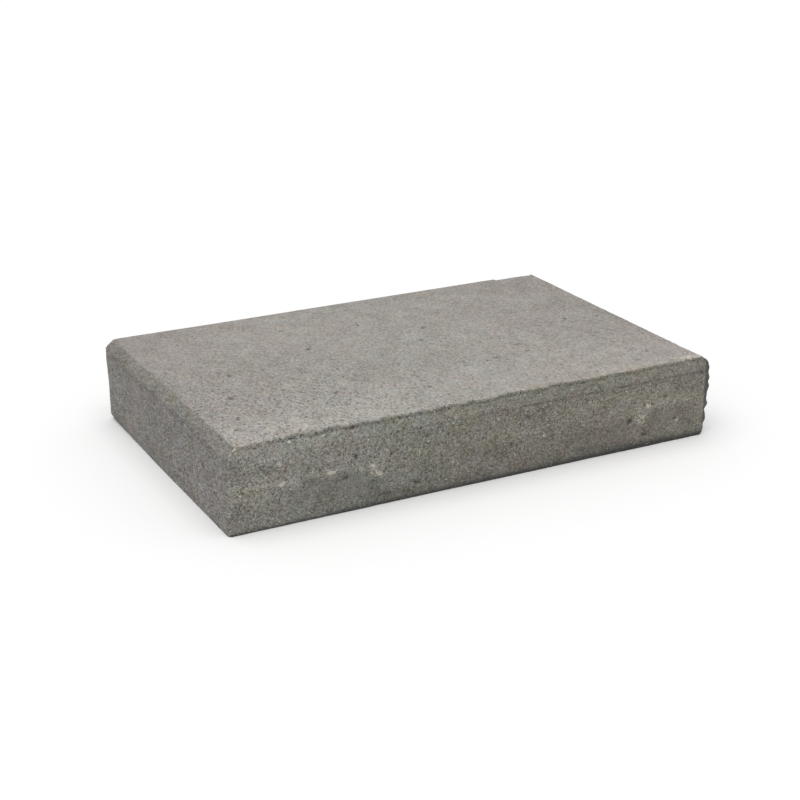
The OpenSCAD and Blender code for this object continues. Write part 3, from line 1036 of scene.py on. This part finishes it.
def concrete(colours, sizes):
    """Dry cast concrete: cement skin, sand grains, pale and dark specks and pinholes.

    Noises of four sizes add up to the mottle, all but the blotches by the mark of coarseness.
    Pinholes and specks are where a noise goes past a step, as far as their marks let them. Pale
    spots, pits and crumbs are where the sand's noise and their mark add up past a step. The dark
    colour that the shade mark, the pinholes and the pits give is painted shade; in the crumbs it is
    partly broken concrete and partly painted shade.
    """
    material = bpy.data.materials.new("concrete")
    net = NodeNet(material)
    turned = {"Vector": net.add("ShaderNodeTexCoord", output="Object"), "Rotation": NOISE_TURN}
    place = net.add("ShaderNodeMapping", None, {**turned, "Scale": LOOSE})
    packed = net.add("ShaderNodeMapping", None, {**turned, "Scale": PACKED})
    top = net.mark("skin_top")

    def weaker(strength, less):
        """A strength that is less on the top face."""
        return strength - top * less

    base = net.mix(net.mark("skin_end"), colours.side, colours.end)
    base = net.mix(net.mark("skin_chamfer"), base, colours.chamfer)
    base = net.mix(top, base, colours.top)
    rosy = net.mark("rosy") + net.clouds(place, sizes.stain, 2.0) * weaker(*ROSY_SWING)
    aside = net.vector("ADD", place, WARM_SHIFT)
    warm = net.mark("warm") + net.clouds(aside, sizes.stain, 2.0) * weaker(*WARM_SWING)
    tint = net.mix(rosy, colours.green, colours.rosy)
    cast = net.mix(warm, colours.cool, colours.warm)
    base = net.vector("MULTIPLY", net.vector("MULTIPLY", base, tint), cast)

    gain = weaker(*GRAIN_GAIN) * net.mark("coarse")
    fine = net.clouds(packed, sizes.fine)
    sand = net.clouds(packed, sizes.sand)
    coarse = net.clouds(place, sizes.coarse)
    mottle = fine * weaker(*FINE_WEIGHT) + sand * SAND_WEIGHT + coarse * weaker(*COARSE_WEIGHT)
    mottle = mottle * gain + net.clouds(place, sizes.blotch, 2.0) * BLOTCH_WEIGHT
    grain = net.scaled(net.mix(GRAIN_SHARE, base, colours.grain), mottle)
    body = net.scaled(net.vector("ADD", base, grain), net.mark("tone") + 1)

    # Pinholes and pits take the dark colour as painted shade inside them
    pinhole = net.clouds(net.vector("ADD", packed, PINHOLE_SHIFT), sizes.pinhole)
    pinhole = pinhole.step(*PINHOLE_STEP) * net.mark("pinholes")
    speck = net.clouds(net.vector("ADD", packed, SPECK_SHIFT), sizes.speck)
    speck = speck.step(*SPECK_STEP) * net.mark("specks")
    ragged = fine * SPOT_FINE + sand * SPOT_SAND
    pale = (net.mark("pale") + ragged).step(*PALE_STEP)
    pit = (net.mark("pit") + ragged).step(*PIT_STEP)
    # Crumbs take the dark colour, partly as broken concrete and partly as painted shade in their bites
    crumbs = net.mark("crumbs")
    crumb_and_shade = (crumbs + fine * CRUMB_FINE + sand * CRUMB_SAND + coarse).step(*CRUMB_STEP)
    crumb_and_shade = crumb_and_shade * crumbs.step(*CRUMB_START)
    for cover, paint in (
        (net.mark("shade"), colours.dark),
        (pinhole, colours.dark),
        (speck, colours.pale),
        (pale * PALE_COVER, colours.pale),
        (pit * PIT_COVER, colours.dark),
        (crumb_and_shade * CRUMB_COVER, colours.dark),
    ):
        body = net.mix(cover, body, paint)

    relief = (fine * FINE_RISE + sand * SAND_RISE) * gain
    relief = relief - pinhole * PINHOLE_SINK + speck * SPECK_RISE
    heights = {"Strength": 1.0, "Distance": 1.0, "Height": relief * MM}
    skin = {"Base Color": body, "Roughness": ROUGHNESS, "Specular IOR Level": SPECULAR}
    skin["Normal"] = net.add("ShaderNodeBump", None, heights)
    shader = net.add("ShaderNodeBsdfPrincipled", None, skin)
    net.add("ShaderNodeOutputMaterial", None, {"Surface": shader})
    return material


# ---- The stage


class StageOperator(bpy.types.Operator):
    """Set the stage: a pale floor, an even sky, a soft overhead lamp and the camera"""

    bl_idname = "wall_cap.set_stage"
    bl_label = "Set stage"

    def execute(self, context):
        scene = context.scene
        stage = scene.cap_stage
        lay_floor(scene, stage)
        light_sky(scene, stage)
        hang_lamp(scene, stage)
        place_camera(scene, stage)
        scene.view_settings.view_transform = "Standard"
        return {"FINISHED"}


def lay_floor(scene, stage, count=9):
    """A flat square grid of count by count points at the height of the bed."""
    half = stage.floor_size / 2
    side = np.linspace(-half, half, count)
    x, y = (axis.ravel() for axis in np.meshgrid(side, side, indexing="ij"))
    keys = np.arange(len(x)).reshape(count, count)
    mesh = bpy.data.meshes.new("floor")
    mesh.from_pydata(np.stack([x, y, 0 * x], 1), [], patch(keys, True).tolist())
    mesh.materials.append(floor_paint(stage.floor_grey))
    floor = bpy.data.objects.new("floor", mesh)
    scene.collection.objects.link(floor)


def floor_paint(value):
    """White where it is seen, and a pale grey that throws less light back on the object."""
    material = bpy.data.materials.new("floor_paint")
    net = NodeNet(material)
    white, grey = (
        net.add("ShaderNodeBsdfDiffuse", None, {"Color": (v, v, v, 1)}) for v in (1, value)
    )
    paint = net.add("ShaderNodeMixShader", None, {0: net.backdrop(), 1: grey, 2: white})
    net.add("ShaderNodeOutputMaterial", None, {"Surface": paint})
    return material


def light_sky(scene, stage):
    """An even sky, which is white where it is seen."""
    scene.world = bpy.data.worlds.new("sky")
    net = NodeNet(scene.world)
    strength = net.backdrop() * (1 - stage.sky) + stage.sky
    light = net.add("ShaderNodeBackground", None, {"Color": (1, 1, 1, 1), "Strength": strength})
    net.add("ShaderNodeOutputWorld", None, {"Surface": light})


def hang_lamp(scene, stage):
    """A very wide, soft lamp overhead, a little to the front left."""
    lamp = bpy.data.lights.new("overhead", "SUN")
    lamp.energy = stage.key * math.pi
    lamp.angle = stage.key_width
    holder = bpy.data.objects.new("overhead", lamp)
    holder.rotation_euler = Euler((stage.key_back, -stage.key_right, 0))
    scene.collection.objects.link(holder)


def place_camera(scene, stage):
    """The camera: level from side to side, and turned and tilted as the settings say."""
    camera = bpy.data.cameras.new("camera")
    camera.lens = stage.lens
    holder = bpy.data.objects.new("camera", camera)
    holder.location = stage.camera_place
    holder.rotation_euler = Euler((math.pi / 2 - stage.camera_tilt, 0, -stage.camera_turn))
    scene.collection.objects.link(holder)
    scene.camera = holder


# ---- Panel and registration


class SidebarPanel(bpy.types.Panel):
    """Lists the cap's operators and settings"""

    bl_idname = "VIEW3D_PT_wall_cap"
    bl_label = "Wall Cap"
    bl_space_type = "VIEW_3D"
    bl_region_type = "UI"
    bl_category = "Wall Cap"

    def draw(self, context):
        for operator, groups in PANEL_ROWS:
            box = self.layout.box()
            for name in groups:
                settings = getattr(context.scene, name)
                for prop in settings.bl_rna.properties.keys():
                    if prop not in ("rna_type", "name"):
                        box.prop(settings, prop)
            box.operator(operator.bl_idname)


SETTINGS = {
    "cap_slab": SlabSettings,
    "cap_relief": ReliefSettings,
    "cap_colours": ColourSettings,
    "cap_grain": GrainSettings,
    "cap_stage": StageSettings,
}
PANEL_ROWS = [
    (SlabOperator, ("cap_slab", "cap_relief", "cap_colours", "cap_grain")),
    (StageOperator, ("cap_stage",)),
]
CLASSES = (*SETTINGS.values(), SlabOperator, StageOperator, SidebarPanel)


def register():
    for each in CLASSES:
        bpy.utils.register_class(each)
    for name, group in SETTINGS.items():
        setattr(bpy.types.Scene, name, bpy.props.PointerProperty(type=group))


def unregister():
    for name in SETTINGS:
        delattr(bpy.types.Scene, name)
    for each in reversed(CLASSES):
        bpy.utils.unregister_class(each)


def main():
    register()
    bpy.ops.wall_cap.cast_slab()
    bpy.ops.wall_cap.set_stage()


if __name__ == "__main__":
    main()
